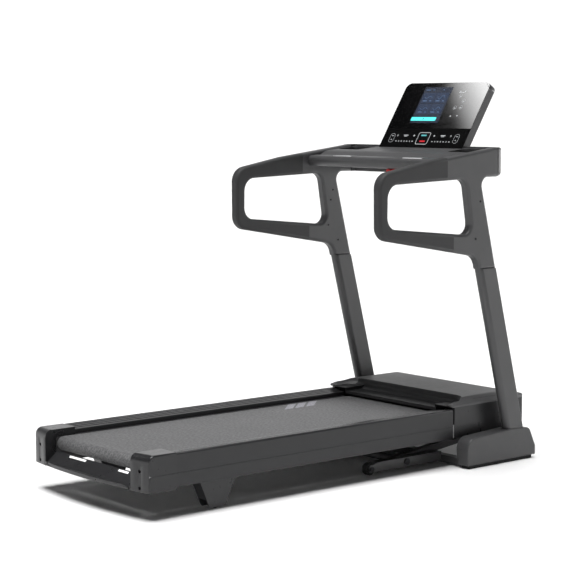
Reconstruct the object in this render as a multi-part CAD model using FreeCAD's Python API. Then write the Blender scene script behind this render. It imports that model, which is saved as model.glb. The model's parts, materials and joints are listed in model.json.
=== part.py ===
import FreeCAD, Part
import math
import os

# Folding motorised treadmill, millimetres.
# +X is the runner's right, +Y points from the rear end of the deck to the motor end, +Z is up.
# The origin is on the floor, under the centre of the whole machine.

V = FreeCAD.Vector
X_AXIS = V(1, 0, 0)
Y_AXIS = V(0, 1, 0)
Z_AXIS = V(0, 0, 1)

# Driving dimensions
DECK_HALF = 360.0            # half width over the foot rails
RAIL_INNER = 281.0           # inner top edge of a foot rail
RAIL_BOTTOM = 106.0
RAIL_TOP_OUT = 226.0         # height of a rail at its outer edge
RAIL_TOP_IN = 215.5          # height of a rail at its inner edge
RAIL_Y = (-796.0, 539.0)
BELT_HALF = 260.0
BELT_TOP = 200.0
BELT_THICK = 1.6
ROLLER_RADIUS = 23.1
BELT_RADIUS = 25.0           # outside of the belt where it goes round a roller
ROLLER_Z = BELT_TOP - BELT_RADIUS
REAR_ROLLER_Y = -856.0
FRONT_ROLLER_Y = 589.0
REAR_END_Y = -942.0          # rearmost point of the bowed rear end
REAR_CORNER_Y = -911.0       # rear end at the outer corners
CAP_TOP = 227.0
CAP_BOTTOM = 98.0
CAP_SCREW_X = 314.7
CAP_SCREW_Z = (112.5, 170.0)
BAY_Y = (547.0, 942.0)       # motor bay side panels
BAY_TOP = 232.0
BAY_CORNER = 12.0            # front vertical corners of the motor bay
HOOD_TOP = 262.0
HOOD_REAR_Y = 535.0
SCOOP_Y = 571.0              # centre line of the rounded ends of the hood's scoop
SCOOP_HALF = 268.0
SCOOP_Z = 235.0
SCOOP_REACH = 76.0
SCOOP_RADIUS = 24.0
CHANNEL_Z = 222.0              # floor of the scoop's deeper middle part
CHANNEL_HALF = 262.0

PLATE_X = (264.0, 268.0)     # steel side plates of the deck frame
PLATE_Z = (112.0, 198.0)

BASE_OUTER = 446.0           # outer face of the base covers
BASE_INNER = 384.0
STAB_X = (245.0, 283.0)      # low rear stabilizer tubes
STAB_Z = (10.0, 47.0)
WHEEL_Y = 180.0
WHEEL_RADIUS = 23.5

UPRIGHT_X = (400.0, 440.0)
UPRIGHT_DEPTH = 92.0
UPRIGHT_LEAN = 0.26          # rearward travel per unit of height
UPRIGHT_FRONT_Y = 857.0      # front face at UPRIGHT_REF_Z
UPRIGHT_REF_Z = 123.0
UPRIGHT_FOOT_Z = 58.0
BEAM_X = (394.0, 438.0)       # floor beams inside the base covers
SEAM_Z = 776.0               # joint between upright tube and handle shell

ARM_X = (399.5, 441.0)
BRIDGE_FRONT_Y = 733.0
BRIDGE_Z = (1130.0, 1243.0)
SHELL_FRONT_Y = 688.0
BRIDGE_INNER_Y = 708.0
GRIP_UPPER_Y = 415.0         # forward ends of the soft grip
GRIP_LOWER_Y = 451.0

CONSOLE_FOOT = (694.0, 1235.0)   # lower front edge of the console face, (y, z)
CONSOLE_TILT = math.radians(32.3)
CONSOLE_HALF = 240.0
CONSOLE_LENGTH = 311.0
CONSOLE_DEPTH = 36.0
CONSOLE_CORNER = 28.0
KEYPAD_LENGTH = 91.0
GLASS_THICK = 2.4

INCLINE_PIVOT = (364.0, 30.0)    # base to incline frame, (y, z)
DECK_PIVOT = (849.0, 85.0)       # incline frame to cradle to deck
STRUT_FOOT = (600.0, 62.0)       # gas strut on the cradle
STRUT_HEAD = (139.0, 95.0)       # gas strut at the deck
STRUT_X = 70.0
LIFT_FOOT = (535.0, 42.0)        # lift actuator on the base
LIFT_HEAD = (375.0, 120.0)       # lift actuator at the incline lever
LIFT_X = -90.0
SHAFT_RADIUS = 10.0
PIN_RADIUS = 8.0
RUNNING_FIT = 0.05

FOOT_WHEEL_Y = -605.0
FOOT_WHEEL_RADIUS = 22.0

MOTOR_AXIS = (715.0, 166.0)
MOTOR_RADIUS = 46.0
PULLEY_X = (278.0, 298.0)
FRONT_PULLEY_RADIUS = 38.0
MOTOR_PULLEY_RADIUS = 19.0


# ---------------------------------------------------------------- helpers

def box(x, y, z):
    """Box from three (low, high) pairs."""
    return Part.makeBox(x[1] - x[0], y[1] - y[0], z[1] - z[0], V(x[0], y[0], z[0]))


def rod_x(x, yz, radius):
    """Cylinder along X between x[0] and x[1]."""
    return Part.makeCylinder(radius, x[1] - x[0], V(x[0], yz[0], yz[1]), X_AXIS)


def rod_between(start, end, radius):
    """Cylinder from one point to another."""
    span = end.sub(start)
    return Part.makeCylinder(radius, span.Length, start, span)


def rounded_wire(corners, to_point):
    """Closed wire with a tangent arc at every corner (u, v, radius)."""
    count = len(corners)
    entries = []
    for i in range(count):
        u, v, radius = corners[i]
        before = corners[i - 1]
        after = corners[(i + 1) % count]
        a = V(before[0] - u, before[1] - v, 0).normalize()
        b = V(after[0] - u, after[1] - v, 0).normalize()
        half = a.getAngle(b) / 2
        if radius <= 0 or half > math.pi / 2 - 1e-4:
            entries.append((V(u, v, 0),))
            continue
        corner = V(u, v, 0)
        reach = radius / math.tan(half)
        middle = (a + b).normalize() * (radius / math.sin(half) - radius)
        entries.append((corner + a * reach, corner + middle, corner + b * reach))
    edges = []
    for i in range(count):
        entry = entries[i]
        if len(entry) == 3:
            arc = Part.Arc(*[to_point(p.x, p.y) for p in entry])
            edges.append(arc.toShape())
        start = to_point(entry[-1].x, entry[-1].y)
        following = entries[(i + 1) % count][0]
        end = to_point(following.x, following.y)
        if start.distanceToPoint(end) > 1e-6:
            edges.append(Part.LineSegment(start, end).toShape())
    return Part.Wire(edges)


def prism_x(corners, x):
    """Outline given as (y, z, radius), drawn out along X."""
    wire = rounded_wire(corners, lambda u, v: V(x[0], u, v))
    return Part.Face(wire).extrude(V(x[1] - x[0], 0, 0))


def prism_y(corners, y):
    """Outline given as (x, z, radius), drawn out along Y."""
    wire = rounded_wire(corners, lambda u, v: V(u, y[0], v))
    return Part.Face(wire).extrude(V(0, y[1] - y[0], 0))


def prism_z(corners, z):
    """Outline given as (x, y, radius), drawn out along Z."""
    wire = rounded_wire(corners, lambda u, v: V(u, v, z[0]))
    return Part.Face(wire).extrude(V(0, 0, z[1] - z[0]))


def rounded_block(x, y, z, radius):
    """Box whose four vertical edges are rounded."""
    corners = [(x[0], y[0], radius), (x[1], y[0], radius), (x[1], y[1], radius), (x[0], y[1], radius)]
    return prism_z(corners, z)


def fused(shapes):
    return shapes[0].multiFuse(shapes[1:]).removeSplitter()


def mirrored(shape):
    """The same piece on the other side of the machine."""
    return shape.mirror(V(0, 0, 0), X_AXIS)


def both_sides(shape):
    return Part.makeCompound([shape, mirrored(shape)])


def softened(shape, radius, wanted):
    """Fillet the edges that wanted() accepts, if the kernel can."""
    edges = [e for e in shape.Edges if wanted(e)]
    try:
        result = shape.makeFillet(radius, edges)
    except Exception:
        return shape
    return result if result.isValid() and result.Volume > 0 else shape


def save(name, shape):
    shape.exportStep("parts/" + name + ".step")


def save_pair(name, right_shape):
    save(name + "_right", right_shape)
    save(name + "_left", mirrored(right_shape))


def strut_point(foot, head, distance, x):
    """Point on the line from foot to head, at a distance from the foot."""
    direction = V(0, head[0] - foot[0], head[1] - foot[1]).normalize()
    return V(x, foot[0], foot[1]) + direction * distance


def rear_bow():
    """Solid in front of the gently bowed rear end, seen from above."""
    sagitta = REAR_CORNER_Y - REAR_END_Y
    radius = DECK_HALF ** 2 / (2 * sagitta) + sagitta / 2
    return Part.makeCylinder(radius, 400, V(0, REAR_END_Y + radius, 0), Z_AXIS)


# ---------------------------------------------------------------- base

def front_face_y(z):
    """Front face of an upright at a height."""
    return UPRIGHT_FRONT_Y - UPRIGHT_LEAN * (z - UPRIGHT_REF_Z)


def leaning_tube(x, inset, depth, z):
    """Upright section, flat at the front with a full round nose at the rear."""
    front = front_face_y(z[0]) - inset
    nose = (x[1] - x[0]) / 2
    rear = front - depth
    corners = [(x[0], front, 4), (x[1], front, 4), (x[1], rear, nose - 0.01), (x[0], rear, nose - 0.01)]
    wire = rounded_wire(corners, lambda u, v: V(u, v, z[0]))
    rise = z[1] - z[0]
    return Part.Face(wire).extrude(V(0, -UPRIGHT_LEAN * rise, rise))


def spigot(grow):
    """Narrow tube on top of an upright that the handle shell fits over."""
    x = (UPRIGHT_X[0] + 7 - grow, UPRIGHT_X[1] - 7 + grow)
    return leaning_tube(x, 12 - grow, UPRIGHT_DEPTH - 26 + 2 * grow, (SEAM_Z - 30, 1085 + grow))


def upright():
    tube = leaning_tube(UPRIGHT_X, 0, UPRIGHT_DEPTH, (UPRIGHT_FOOT_Z, SEAM_Z))
    hollow = leaning_tube((UPRIGHT_X[0] + 3, UPRIGHT_X[1] - 3), 3, UPRIGHT_DEPTH - 6,
                          (UPRIGHT_FOOT_Z - 1, SEAM_Z - 30))
    core = leaning_tube((UPRIGHT_X[0] + 10, UPRIGHT_X[1] - 10), 15, UPRIGHT_DEPTH - 32,
                        (SEAM_Z - 31, 1086))
    return tube.cut(hollow).fuse(spigot(0)).cut(core).removeSplitter()


def base_beams():
    beam = rounded_block(BEAM_X, (553, 906), (14, UPRIGHT_FOOT_Z), 6)
    hollow = box((BEAM_X[0] + 3, BEAM_X[1] - 3), (559, 900), (17, UPRIGHT_FOOT_Z - 3))
    return both_sides(beam.cut(hollow))


def base_cover():
    outline = [(537, 13, 4), (534, 118, 44), (779, 131, 80), (886, 127, 26), (922, 50, 14), (922, 13, 4)]
    inner = [(543, 0, 0), (540, 112, 38), (779, 125, 80), (882, 121, 22), (916, 50, 10), (916, 0, 0)]
    cover = prism_x(outline, (BASE_INNER, BASE_OUTER))
    cover = softened(cover, 5, lambda e: abs(e.CenterOfMass.x - BASE_OUTER) < 0.1 and e.CenterOfMass.z > 14)
    cover = cover.cut(prism_x(inner, (BASE_INNER + 4, BASE_OUTER - 4)))
    hole = leaning_tube((UPRIGHT_X[0] - 1, UPRIGHT_X[1] + 1), -1, UPRIGHT_DEPTH + 2, (60, 200))
    notch = box((BASE_INNER - 1, BEAM_X[0] + 0.5), (530, 594), (0, 34))
    return cover.cut(hole).cut(notch)


def base_feet():
    """Rubber strips under the beams and pads under the cross tube, all flat on the floor."""
    strip = rounded_block((BEAM_X[0] + 1, BEAM_X[1] + 2), (548, 909), (0, 14), 8)
    pocket = box((406, 426), (600, 880), (4, 15))
    pad = rounded_block((120, 170), (558, 588), (0, 3), 5)
    return Part.makeCompound([strip.cut(pocket), mirrored(strip.cut(pocket)), pad, mirrored(pad)])


def base_cross_tube():
    """Tube between the side beams, with the lug of the lift actuator on its rear face."""
    tube = rounded_tube_x((-BEAM_X[0], BEAM_X[0]), (553, 593), (3, 33), 4)
    lugs = []
    for side in (-1, 1):
        near = LIFT_X + side * 15 - 3
        plate = prism_x([(553, 4, 0), (553, 33, 0), (545, 52, 8), (524, 52, 10), (524, 34, 10)],
                        (near, near + 6))
        lugs.append(plate)
    pin = rod_x((LIFT_X - 20, LIFT_X + 20), LIFT_FOOT, 5)
    return fused([tube] + lugs + [pin])


def rounded_tube_x(x, y, z, radius):
    outer = prism_x([(y[0], z[0], radius), (y[1], z[0], radius), (y[1], z[1], radius),
                     (y[0], z[1], radius)], x)
    wall = 3
    inner = box((x[0] - 1, x[1] + 1), (y[0] + wall, y[1] - wall), (z[0] + wall, z[1] - wall))
    return outer.cut(inner)


def stabilizer_tubes():
    """Low tubes to the rear; each ends in a fork for a transport wheel."""
    tube = prism_x([(205, STAB_Z[0], 5), (553, STAB_Z[0], 0), (553, STAB_Z[1], 0), (205, STAB_Z[1], 5)],
                   STAB_X)
    hollow = box((STAB_X[0] + 3, STAB_X[1] - 3), (224, 554), (STAB_Z[0] + 3, STAB_Z[1] - 3))
    tube = tube.cut(hollow)
    tube = tube.cut(rod_x((STAB_X[0] - 1, STAB_X[1] + 1), INCLINE_PIVOT, PIN_RADIUS))
    cheeks = []
    for x in ((STAB_X[0], STAB_X[0] + 5), (STAB_X[1] - 5, STAB_X[1])):
        cheeks.append(prism_x([(WHEEL_Y - 12, 11, 8), (222, STAB_Z[0], 0), (222, STAB_Z[1], 0),
                               (WHEEL_Y - 12, 37, 8)], x))
    fork = fused([tube] + cheeks)
    clear = rod_x((STAB_X[0] + 5, STAB_X[1] - 5), (WHEEL_Y, WHEEL_RADIUS), WHEEL_RADIUS + 3)
    bore = rod_x((STAB_X[0] - 1, STAB_X[1] + 1), (WHEEL_Y, WHEEL_RADIUS), 6)
    return both_sides(fork.cut(clear).cut(bore))


def wheel(x, yz, radius, bore):
    """Solid wheel with a rounded tread and dished sides."""
    body = rod_x(x, yz, radius)

    def on_rim(edge):
        return hasattr(edge.Curve, "Radius") and abs(edge.Curve.Radius - radius) < 0.1
    body = softened(body, 3, on_rim)
    for low, high in ((x[0] - 1, x[0] + 2), (x[1] - 2, x[1] + 1)):
        ring = rod_x((low, high), yz, radius - 6).cut(rod_x((low, high), yz, bore + 4))
        body = body.cut(ring)
    return body.cut(rod_x((x[0] - 1, x[1] + 1), yz, bore + RUNNING_FIT))


def pivot_pins():
    """Pins of the incline pivot and axles of the transport wheels, with flat heads."""
    pin = rod_x((206, STAB_X[1] + 1), INCLINE_PIVOT, PIN_RADIUS)
    head = rod_x((STAB_X[1], STAB_X[1] + 5), INCLINE_PIVOT, 13)
    axle = rod_x((STAB_X[0] - 4, STAB_X[1]), (WHEEL_Y, WHEEL_RADIUS), 6)
    cap = rod_x((STAB_X[1], STAB_X[1] + 4), (WHEEL_Y, WHEEL_RADIUS), 10)
    right = [fused([pin, head]), fused([axle, cap])]
    return Part.makeCompound(right + [mirrored(s) for s in right])


# ---------------------------------------------------------------- handles, tray and console

def handle_outer():
    front_low = front_face_y(SEAM_Z)
    return [(67, 1150, 62), (311, 1195, 300), (641, 1237, 0), (SHELL_FRONT_Y, 1243, 0),
            (SHELL_FRONT_Y, 1130, 0), (598, 1130, 33), (front_low, SEAM_Z, 0),
            (front_low - UPRIGHT_DEPTH - 2, SEAM_Z, 0), (585, 825, 58), (69, 913, 56)]


def handle_inner():
    return [(114, 1111, 52), (518, 1125, 42), (554, 909, 40), (112, 951, 48)]


def handle_loop():
    loop = prism_x(handle_outer(), ARM_X)
    opening = prism_x(handle_inner(), (ARM_X[0] - 1, ARM_X[1] + 1))
    return loop.cut(opening)


def grip_zone():
    """Rear part of the loop, which carries the soft grip."""
    upper = box((300, 500), (0, GRIP_UPPER_Y), (1010, 1300))
    lower = box((300, 500), (0, GRIP_LOWER_Y), (700, 1010))
    return upper.fuse(lower)


def round_long_edges(shape, radius):
    """Round the edges that run round the loop on its two flat sides."""
    def on_side(edge):
        middle = edge.CenterOfMass.x
        flat = edge.BoundBox.XLength < 0.1
        return flat and (abs(middle - ARM_X[0]) < 0.1 or abs(middle - ARM_X[1]) < 0.1)
    return softened(shape, radius, on_side)


def handle_pieces():
    loop = round_long_edges(handle_loop(), 12)
    shell = loop.cut(grip_zone()).cut(spigot(0.3))
    grip = loop.common(grip_zone())
    return shell, grip


def front_bridge():
    """Rounded front of the upper frame, from one handle shell to the other."""
    outer = [(-ARM_X[1], SHELL_FRONT_Y, 0), (-ARM_X[1], BRIDGE_FRONT_Y, 45),
             (ARM_X[1], BRIDGE_FRONT_Y, 45), (ARM_X[1], SHELL_FRONT_Y, 0),
             (ARM_X[0], SHELL_FRONT_Y, 0), (ARM_X[0], BRIDGE_INNER_Y, 0), (-ARM_X[0], BRIDGE_INNER_Y, 0),
             (-ARM_X[0], SHELL_FRONT_Y, 0)]
    bridge = prism_z(outer, BRIDGE_Z)

    def outside(height):
        def wanted(edge):
            middle = edge.BoundBox.Center
            level = edge.BoundBox.ZLength < 0.1 and abs(middle.z - height) < 0.1
            return level and (middle.y > SHELL_FRONT_Y + 15 or abs(middle.x) > ARM_X[1] - 30) \
                and edge.BoundBox.YMax > BRIDGE_INNER_Y + 1
        return wanted
    bridge = softened(bridge, 10, outside(BRIDGE_Z[1]))
    bridge = softened(bridge, 20, outside(BRIDGE_Z[0]))
    return bridge.cut(console_block(CONSOLE_HALF + 1, -1, CONSOLE_DEPTH + 1, -40))


def tray_top(y):
    """Height of the tray's surface, which climbs slightly towards the console."""
    return 1220 + 0.1 * (y - 550)


def tray():
    """Moulded tray between the handles, with a deep pocket at each side of the console."""
    half = ARM_X[0]
    sheet = [(505, 1178, 4), (505, 1200, 8), (538, 1216, 14), (552, tray_top(552), 0),
             (BRIDGE_INNER_Y, tray_top(BRIDGE_INNER_Y), 0),
             (BRIDGE_INNER_Y, tray_top(BRIDGE_INNER_Y) - 16, 0),
             (560, 1195, 10)]
    body = prism_x(sheet, (-half, half))
    pockets = []
    hollows = []
    for side in (-1, 1):
        low, high = sorted((side * 250, side * 392))
        pockets.append(rounded_block((low, high), (588, 704), (1160, 1215), 24))
        hollows.append(rounded_block((low + 4, high - 4), (592, 700), (1164, 1300), 20))
    body = fused([body] + pockets)
    for hollow in hollows:
        body = body.cut(hollow)
    return body.cut(console_block(CONSOLE_HALF + 0.5, -0.5, CONSOLE_DEPTH + 0.5, -40))


def handlebar():
    """Cross handlebar with the seat of the pulse plates and the socket of the safety key."""
    bar = prism_x([(444, 1156, 20), (444, 1199, 20), (504, 1203, 8), (504, 1156, 20)],
                  (-ARM_X[0], ARM_X[0]))
    socket = prism_x([(474, 1126, 5), (474, 1160, 0), (494, 1160, 0), (494, 1126, 5)], (56, 100))
    return fused([bar, socket]).cut(pulse_plates())


def pulse_plates():
    """Two slim metal contact plates on top of the handlebar."""
    plate = prism_z([(148, 456, 6), (262, 456, 6), (262, 490, 6), (148, 490, 6)], (1197, 1202.5))
    return both_sides(plate)


def console_point(u, w, depth):
    """Point on the tilted console: across, up the face, and behind the face."""
    sine = math.sin(CONSOLE_TILT)
    cosine = math.cos(CONSOLE_TILT)
    return V(u, CONSOLE_FOOT[0] + w * sine + depth * cosine, CONSOLE_FOOT[1] + w * cosine - depth * sine)


def console_prism(corners, depth):
    wire = rounded_wire(corners, lambda u, v: console_point(u, v, depth[0]))
    push = console_point(0, 0, depth[1]).sub(console_point(0, 0, depth[0]))
    return Part.Face(wire).extrude(push)


def console_block(half, front, back, low, top=CONSOLE_LENGTH, corner=0):
    corners = [(-half, low, 0), (half, low, 0), (half, top, corner), (-half, top, corner)]
    return console_prism(corners, (front, back))


def console_shell():
    """Housing behind the glass, hollow, with its lower end sunk into the tray."""
    shell = console_block(CONSOLE_HALF, GLASS_THICK, CONSOLE_DEPTH, -14, corner=CONSOLE_CORNER)
    hollow = console_block(CONSOLE_HALF - 8, GLASS_THICK - 1, CONSOLE_DEPTH - 3, 4, CONSOLE_LENGTH - 8, 20)
    return shell.cut(hollow)


def console_glass():
    corners = [(-CONSOLE_HALF, KEYPAD_LENGTH + 0.6, 0), (CONSOLE_HALF, KEYPAD_LENGTH + 0.6, 0),
               (CONSOLE_HALF, CONSOLE_LENGTH, CONSOLE_CORNER),
               (-CONSOLE_HALF, CONSOLE_LENGTH, CONSOLE_CORNER)]
    return console_prism(corners, (0, GLASS_THICK))


def console_keypad():
    corners = [(-CONSOLE_HALF, -4, 0), (CONSOLE_HALF, -4, 0),
               (CONSOLE_HALF, KEYPAD_LENGTH, 0), (-CONSOLE_HALF, KEYPAD_LENGTH, 0)]
    return console_prism(corners, (0, GLASS_THICK))


def console_display():
    corners = [(-160, 105, 3), (160, 105, 3), (160, 290, 3), (-160, 290, 3)]
    return console_prism(corners, (GLASS_THICK, GLASS_THICK + 7))


def console_board():
    """Circuit boards: one behind the keys, one behind the display."""
    keys = console_prism([(-215, 10, 3), (215, 10, 3), (215, 85, 3), (-215, 85, 3)],
                         (GLASS_THICK, GLASS_THICK + 3))
    main = console_prism([(-120, 110, 3), (120, 110, 3), (120, 260, 3), (-120, 260, 3)],
                         (GLASS_THICK + 7, GLASS_THICK + 12))
    return Part.makeCompound([keys, main])


def safety_key():
    """Red key held by a magnet on the socket, with a cord eye at its lower end."""
    body = prism_x([(455, 1128, 4), (455, 1155, 6), (473.5, 1155, 2), (473.5, 1128, 2)], (60, 96))
    return body.cut(rod_x((50, 110), (464, 1134), 2.5))


def frame_screws():
    """Screw heads of the handle shells and bolt heads of the base covers."""
    heads = []
    outer = [(593, 1038), (569, 895)]
    inner = [(581, 1054), (569, 1012), (556, 907), (611, 842)]
    for y, z in outer:
        heads.append(rod_x((ARM_X[1], ARM_X[1] + 1.2), (y, z), 4.5))
    for y, z in inner:
        heads.append(rod_x((ARM_X[0] - 1.2, ARM_X[0]), (y, z), 4))
    return Part.makeCompound(heads + [mirrored(s) for s in heads])


# ---------------------------------------------------------------- incline, fold and lift

def incline_frame():
    """Two arms from the base pivot to the deck pivot, with cross tubes and the lift lever."""
    spine = rod_x((-240, 240), INCLINE_PIVOT, 14)
    arm = prism_x([(INCLINE_PIVOT[0], 17, 10), (INCLINE_PIVOT[0], 43, 10), (640, 76, 60),
                   (DECK_PIVOT[0] + 2, 99, 10), (DECK_PIVOT[0] + 2, 73, 10), (640, 48, 60)], (206, 236))
    barrel = rod_x((204, 240), DECK_PIVOT, 18)
    brace = box((-206, 206), (640, 668), (53, 73))
    lever = prism_x([(346, 22, 8), (364, 132, 11), (387, 132, 11), (384, 22, 8)], (LIFT_X + 11, LIFT_X + 17))
    lever_twin = lever.copy()
    lever_twin.translate(V(-28, 0, 0))
    stubs = [rod_x((LIFT_X + 17, LIFT_X + 22), LIFT_HEAD, 7), rod_x((LIFT_X - 22, LIFT_X - 17), LIFT_HEAD, 7)]
    frame = fused([spine, arm, mirrored(arm), barrel, mirrored(barrel), brace, lever, lever_twin] + stubs)
    frame = frame.cut(rod_x((-241, 241), INCLINE_PIVOT, PIN_RADIUS + RUNNING_FIT))
    return frame.cut(rod_x((-260, 260), DECK_PIVOT, SHAFT_RADIUS + RUNNING_FIT))


def fold_cradle():
    """Hinge shaft of the deck with two short arms that carry the foot of the gas strut."""
    shaft = rod_x((-270, 270), DECK_PIVOT, SHAFT_RADIUS)
    pieces = [shaft]
    for side in (-1, 1):
        low, high = sorted((side * 150, side * 172))
        pieces.append(rod_x((low, high), DECK_PIVOT, 15))
        pieces.append(prism_x([(STRUT_FOOT[0] + 16, 78, 8), (STRUT_FOOT[0] + 16, 100, 8),
                               (DECK_PIVOT[0] + 6, 100, 8), (DECK_PIVOT[0] + 6, 78, 8)], (low, high)))
        low, high = sorted((side * 270, side * 274))
        pieces.append(rod_x((low, high), DECK_PIVOT, 15))
    pieces.append(box((-150, 150), (STRUT_FOOT[0] + 18, STRUT_FOOT[0] + 38), (80, 98)))
    for side in (-1, 1):
        near = STRUT_X + side * 15.5 - 2.5
        pieces.append(prism_x([(STRUT_FOOT[0] - 11, 51, 9), (STRUT_FOOT[0] - 11, 73, 9),
                               (STRUT_FOOT[0] + 20, 98, 0), (STRUT_FOOT[0] + 38, 98, 0),
                               (STRUT_FOOT[0] + 38, 82, 0), (STRUT_FOOT[0] + 11, 51, 9)], (near, near + 5)))
    pieces.append(rod_x((STRUT_X - 21, STRUT_X + 21), STRUT_FOOT, 5))
    return fused(pieces)


def strut_cylinder():
    foot = rod_x((STRUT_X - 10, STRUT_X + 10), STRUT_FOOT, 10)
    tube = rod_between(strut_point(STRUT_FOOT, STRUT_HEAD, 8, STRUT_X),
                       strut_point(STRUT_FOOT, STRUT_HEAD, 272, STRUT_X), 12)
    bore = rod_between(strut_point(STRUT_FOOT, STRUT_HEAD, 24, STRUT_X),
                       strut_point(STRUT_FOOT, STRUT_HEAD, 262, STRUT_X), 10)
    gland = rod_between(strut_point(STRUT_FOOT, STRUT_HEAD, 255, STRUT_X),
                        strut_point(STRUT_FOOT, STRUT_HEAD, 280, STRUT_X), 5 + RUNNING_FIT)
    eye = rod_x((STRUT_X - 11, STRUT_X + 11), STRUT_FOOT, 5 + RUNNING_FIT)
    return fused([foot, tube]).cut(bore).cut(gland).cut(eye)


def strut_rod():
    """Piston, rod and head eye of the gas strut; it slides out of the cylinder."""
    reach = math.hypot(STRUT_HEAD[0] - STRUT_FOOT[0], STRUT_HEAD[1] - STRUT_FOOT[1])
    rod = rod_between(strut_point(STRUT_FOOT, STRUT_HEAD, 30, STRUT_X),
                      strut_point(STRUT_FOOT, STRUT_HEAD, reach - 5, STRUT_X), 5)
    piston = rod_between(strut_point(STRUT_FOOT, STRUT_HEAD, 30, STRUT_X),
                         strut_point(STRUT_FOOT, STRUT_HEAD, 42, STRUT_X), 10 - RUNNING_FIT)
    eye = rod_x((STRUT_X - 8, STRUT_X + 8), STRUT_HEAD, 10)
    return fused([rod, piston, eye])


def lift_motor():
    """Gearbox tube with its motor on top; the foot eye turns on the base lug."""
    foot = rod_x((LIFT_X - 11, LIFT_X + 11), LIFT_FOOT, 9)
    neck = rod_between(V(LIFT_X, *LIFT_FOOT), strut_point(LIFT_FOOT, LIFT_HEAD, 30, LIFT_X), 9)
    tube = rod_between(strut_point(LIFT_FOOT, LIFT_HEAD, 22, LIFT_X),
                       strut_point(LIFT_FOOT, LIFT_HEAD, 118, LIFT_X), 13)
    across = V(0, LIFT_HEAD[1] - LIFT_FOOT[1], LIFT_FOOT[0] - LIFT_HEAD[0]).normalize() * 34
    start = strut_point(LIFT_FOOT, LIFT_HEAD, 14, LIFT_X) + across
    end = strut_point(LIFT_FOOT, LIFT_HEAD, 92, LIFT_X) + across
    motor = rod_between(start, end, 20)
    gearbox = rod_between(strut_point(LIFT_FOOT, LIFT_HEAD, 40, LIFT_X),
                          strut_point(LIFT_FOOT, LIFT_HEAD, 40, LIFT_X) + across, 11)
    bore = rod_between(strut_point(LIFT_FOOT, LIFT_HEAD, 24, LIFT_X),
                       strut_point(LIFT_FOOT, LIFT_HEAD, 130, LIFT_X), 7 + RUNNING_FIT)
    eye = rod_x((LIFT_X - 12, LIFT_X + 12), LIFT_FOOT, 5 + RUNNING_FIT)
    return fused([foot, neck, tube, motor, gearbox]).cut(bore).cut(eye)


def lift_screw():
    """Lift screw with the eye that pushes the incline lever."""
    reach = math.hypot(LIFT_HEAD[0] - LIFT_FOOT[0], LIFT_HEAD[1] - LIFT_FOOT[1])
    screw = rod_between(strut_point(LIFT_FOOT, LIFT_HEAD, 30, LIFT_X),
                        strut_point(LIFT_FOOT, LIFT_HEAD, reach - 6, LIFT_X), 7)
    eye = rod_x((LIFT_X - 10, LIFT_X + 10), LIFT_HEAD, 10)
    return fused([screw, eye])


# ---------------------------------------------------------------- running deck

def side_rail():
    """Hollow foot rail with a ribbed sloping top and a shallow groove along its side."""
    outer = [(270, RAIL_BOTTOM, 1), (DECK_HALF, RAIL_BOTTOM, 4), (DECK_HALF, RAIL_TOP_OUT, 7),
             (RAIL_INNER, RAIL_TOP_IN, 3), (RAIL_INNER, 199, 0), (270, 199, 0)]
    inner = [(273, RAIL_BOTTOM + 3, 0), (DECK_HALF - 3, RAIL_BOTTOM + 3, 2),
             (DECK_HALF - 3, RAIL_TOP_OUT - 5, 4), (RAIL_INNER + 3, RAIL_TOP_IN - 5, 0),
             (RAIL_INNER + 3, 196, 0), (273, 196, 0)]
    rail = prism_y(outer, RAIL_Y).cut(prism_y(inner, (RAIL_Y[0] - 1, RAIL_Y[1] + 1)))
    slope = (RAIL_TOP_OUT - RAIL_TOP_IN) / (DECK_HALF - RAIL_INNER)
    for x in (296.0, 312.5, 329.0, 345.5):
        top = RAIL_TOP_IN + slope * (x - RAIL_INNER)
        groove = prism_y([(x, top + 3, 0), (x + 6, top + 3, 0), (x + 5, top - 2, 0),
                          (x + 1, top - 2, 0)], (RAIL_Y[0] - 1, RAIL_Y[1] + 1))
        rail = rail.cut(groove)
    side_groove = box((DECK_HALF - 1.2, DECK_HALF + 1), (RAIL_Y[0] - 1, RAIL_Y[1] + 1), (154.5, 157))
    return rail.cut(side_groove)


def end_cap():
    """Moulded rear corner of the deck, bowed at the back, hollow from the front."""
    body = box((270, DECK_HALF), (-960, RAIL_Y[0]), (CAP_BOTTOM, CAP_TOP)).common(rear_bow())
    body = softened(body, 26, lambda e: e.CenterOfMass.y < -850 and abs(e.CenterOfMass.z - CAP_TOP) < 0.1
                    and e.BoundBox.XLength > 60)
    body = softened(body, 6, lambda e: abs(e.CenterOfMass.x - DECK_HALF) < 0.1
                    and e.CenterOfMass.z > CAP_BOTTOM + 1 and e.CenterOfMass.y < RAIL_Y[0] - 1)
    hollow = box((275, DECK_HALF - 5), (-900, RAIL_Y[0] + 1), (CAP_BOTTOM + 4, 196))
    groove = box((DECK_HALF - 1.2, DECK_HALF + 1), (-960, RAIL_Y[0] + 1), (154.5, 157))
    body = body.cut(hollow).cut(groove)
    for z in CAP_SCREW_Z:
        body = body.cut(Part.makeCylinder(6.5, 34, V(CAP_SCREW_X, -942, z), Y_AXIS))
    return body


def end_cap_screws():
    """Four socket screws sunk into the rear faces of the end caps."""
    screws = []
    for z in CAP_SCREW_Z:
        head = Part.makeCylinder(6.5, 5, V(CAP_SCREW_X, -913, z), Y_AXIS)
        socket = Part.makeCylinder(2.5, 4, V(CAP_SCREW_X, -914, z), Y_AXIS)
        screws.append(head.cut(socket))
    return Part.makeCompound(screws + [mirrored(s) for s in screws])


def rear_bar():
    """Bowed lower bar between the end caps, with the guard plate that rises from it to the roller."""
    bar = box((-270, 270), (-960, -905), (100, 113)).common(rear_bow())
    trim = box((-262, 262), (-927, -903), (104, 120))
    guard = prism_x([(-930, 103, 0), (-926, 103, 0), (-878, 146, 1), (-880, 149, 1), (-930, 106, 0)],
                    (-262, 262))
    floor = box((-262, 262), (-930, -905), (101, 104))
    return fused([bar.cut(trim), guard, floor])


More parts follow.
